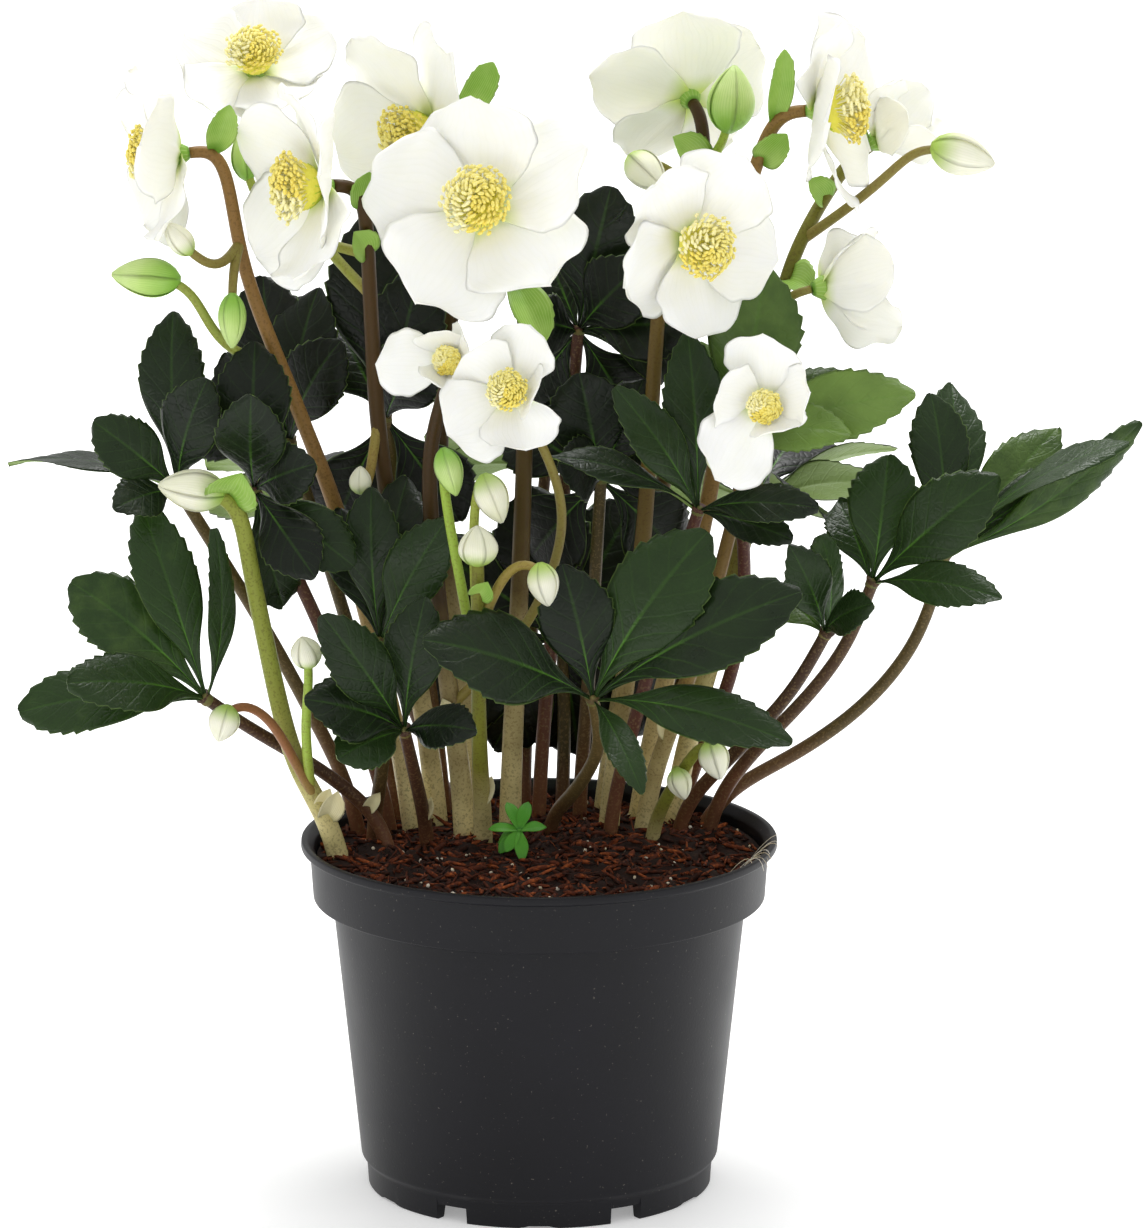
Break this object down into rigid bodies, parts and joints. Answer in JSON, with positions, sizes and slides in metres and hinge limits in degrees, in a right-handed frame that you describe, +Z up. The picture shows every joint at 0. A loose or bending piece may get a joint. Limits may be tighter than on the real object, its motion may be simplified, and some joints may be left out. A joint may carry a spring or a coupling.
{
  "type": "hellebore plant",
  "caption": "Evergreen Christmas rose with divided dark leaves, open white flowers and hanging buds, growing in a round black nursery pot.",
  "frame": {"origin": "middle of the pot's flat underside, on the surface it stands on", "axes": "+Z up along the pot's axis, -Y towards the side with the bare soil and the large front flower, +X to the right"},
  "size_m": [0.4059, 0.24, 0.4207],
  "materials": {
    "pot_plastic": "satin black polypropylene",
    "bark_soil": "rough bark and peat",
    "white_sepal": "soft waxy white",
    "yellow_stamen": "matt pollen yellow",
    "scape_green": "smooth fleshy stem",
    "leaf_green": "leathery semi-gloss",
    "seedling_green": "soft young leaf"
  },
  "bodies": {
    "root": {"bloom_back_sepals": "white_sepal", "bloom_back_stamens": "yellow_stamen", "bloom_bell_sepals": "white_sepal", "bloom_front_sepals": "white_sepal", "bloom_front_stamens": "yellow_stamen", "bloom_left_sepals": "white_sepal", "bloom_left_stamens": "yellow_stamen", "bloom_rear_sepals": "white_sepal", "bloom_rear_stamens": "yellow_stamen", "bloom_right_front_sepals": "white_sepal", "bloom_right_front_stamens": "yellow_stamen", "bloom_right_low_sepals": "white_sepal", "bloom_right_low_stamens": "yellow_stamen", "bloom_right_sepals": "white_sepal", "bloom_right_stamens": "yellow_stamen", "bloom_small_left_sepals": "white_sepal", "bloom_small_left_stamens": "yellow_stamen", "bloom_small_right_sepals": "white_sepal", "bloom_small_right_stamens": "yellow_stamen", "bloom_small_sepals": "white_sepal", "bloom_small_stamens": "yellow_stamen", "bloom_top_left_sepals": "white_sepal", "bloom_top_left_stamens": "yellow_stamen", "bloom_upper_left_sepals": "white_sepal", "bloom_upper_left_stamens": "yellow_stamen", "buds_centre": "scape_green", "buds_right": "scape_green", "leaf_back_left": "leaf_green", "leaf_centre": "leaf_green", "leaf_centre_high": "leaf_green", "leaf_centre_left": "leaf_green", "leaf_far_right": "leaf_green", "leaf_front": "leaf_green", "leaf_front_left": "leaf_green", "leaf_left": "leaf_green", "leaf_left_inner": "leaf_green", "leaf_left_middle": "leaf_green", "leaf_low_left": "leaf_green", "leaf_low_rear": "leaf_green", "leaf_rear": "leaf_green", "leaf_rear_left": "leaf_green", "leaf_rear_right": "leaf_green", "leaf_right": "leaf_green", "leaf_right_inner": "leaf_green", "leaf_right_low": "leaf_green", "leaf_right_upper": "leaf_green", "pot": "pot_plastic", "scape_back": "scape_green", "scape_bud_left": "scape_green", "scape_far_right": "scape_green", "scape_front": "scape_green", "scape_left": "scape_green", "scape_middle": "scape_green", "scape_middle_right": "scape_green", "scape_rear_right": "scape_green", "scape_right": "scape_green", "scape_right_front": "scape_green", "scape_upper_left": "scape_green", "seedling": "seedling_green", "soil": "bark_soil"}
  },
  "joints": []
}
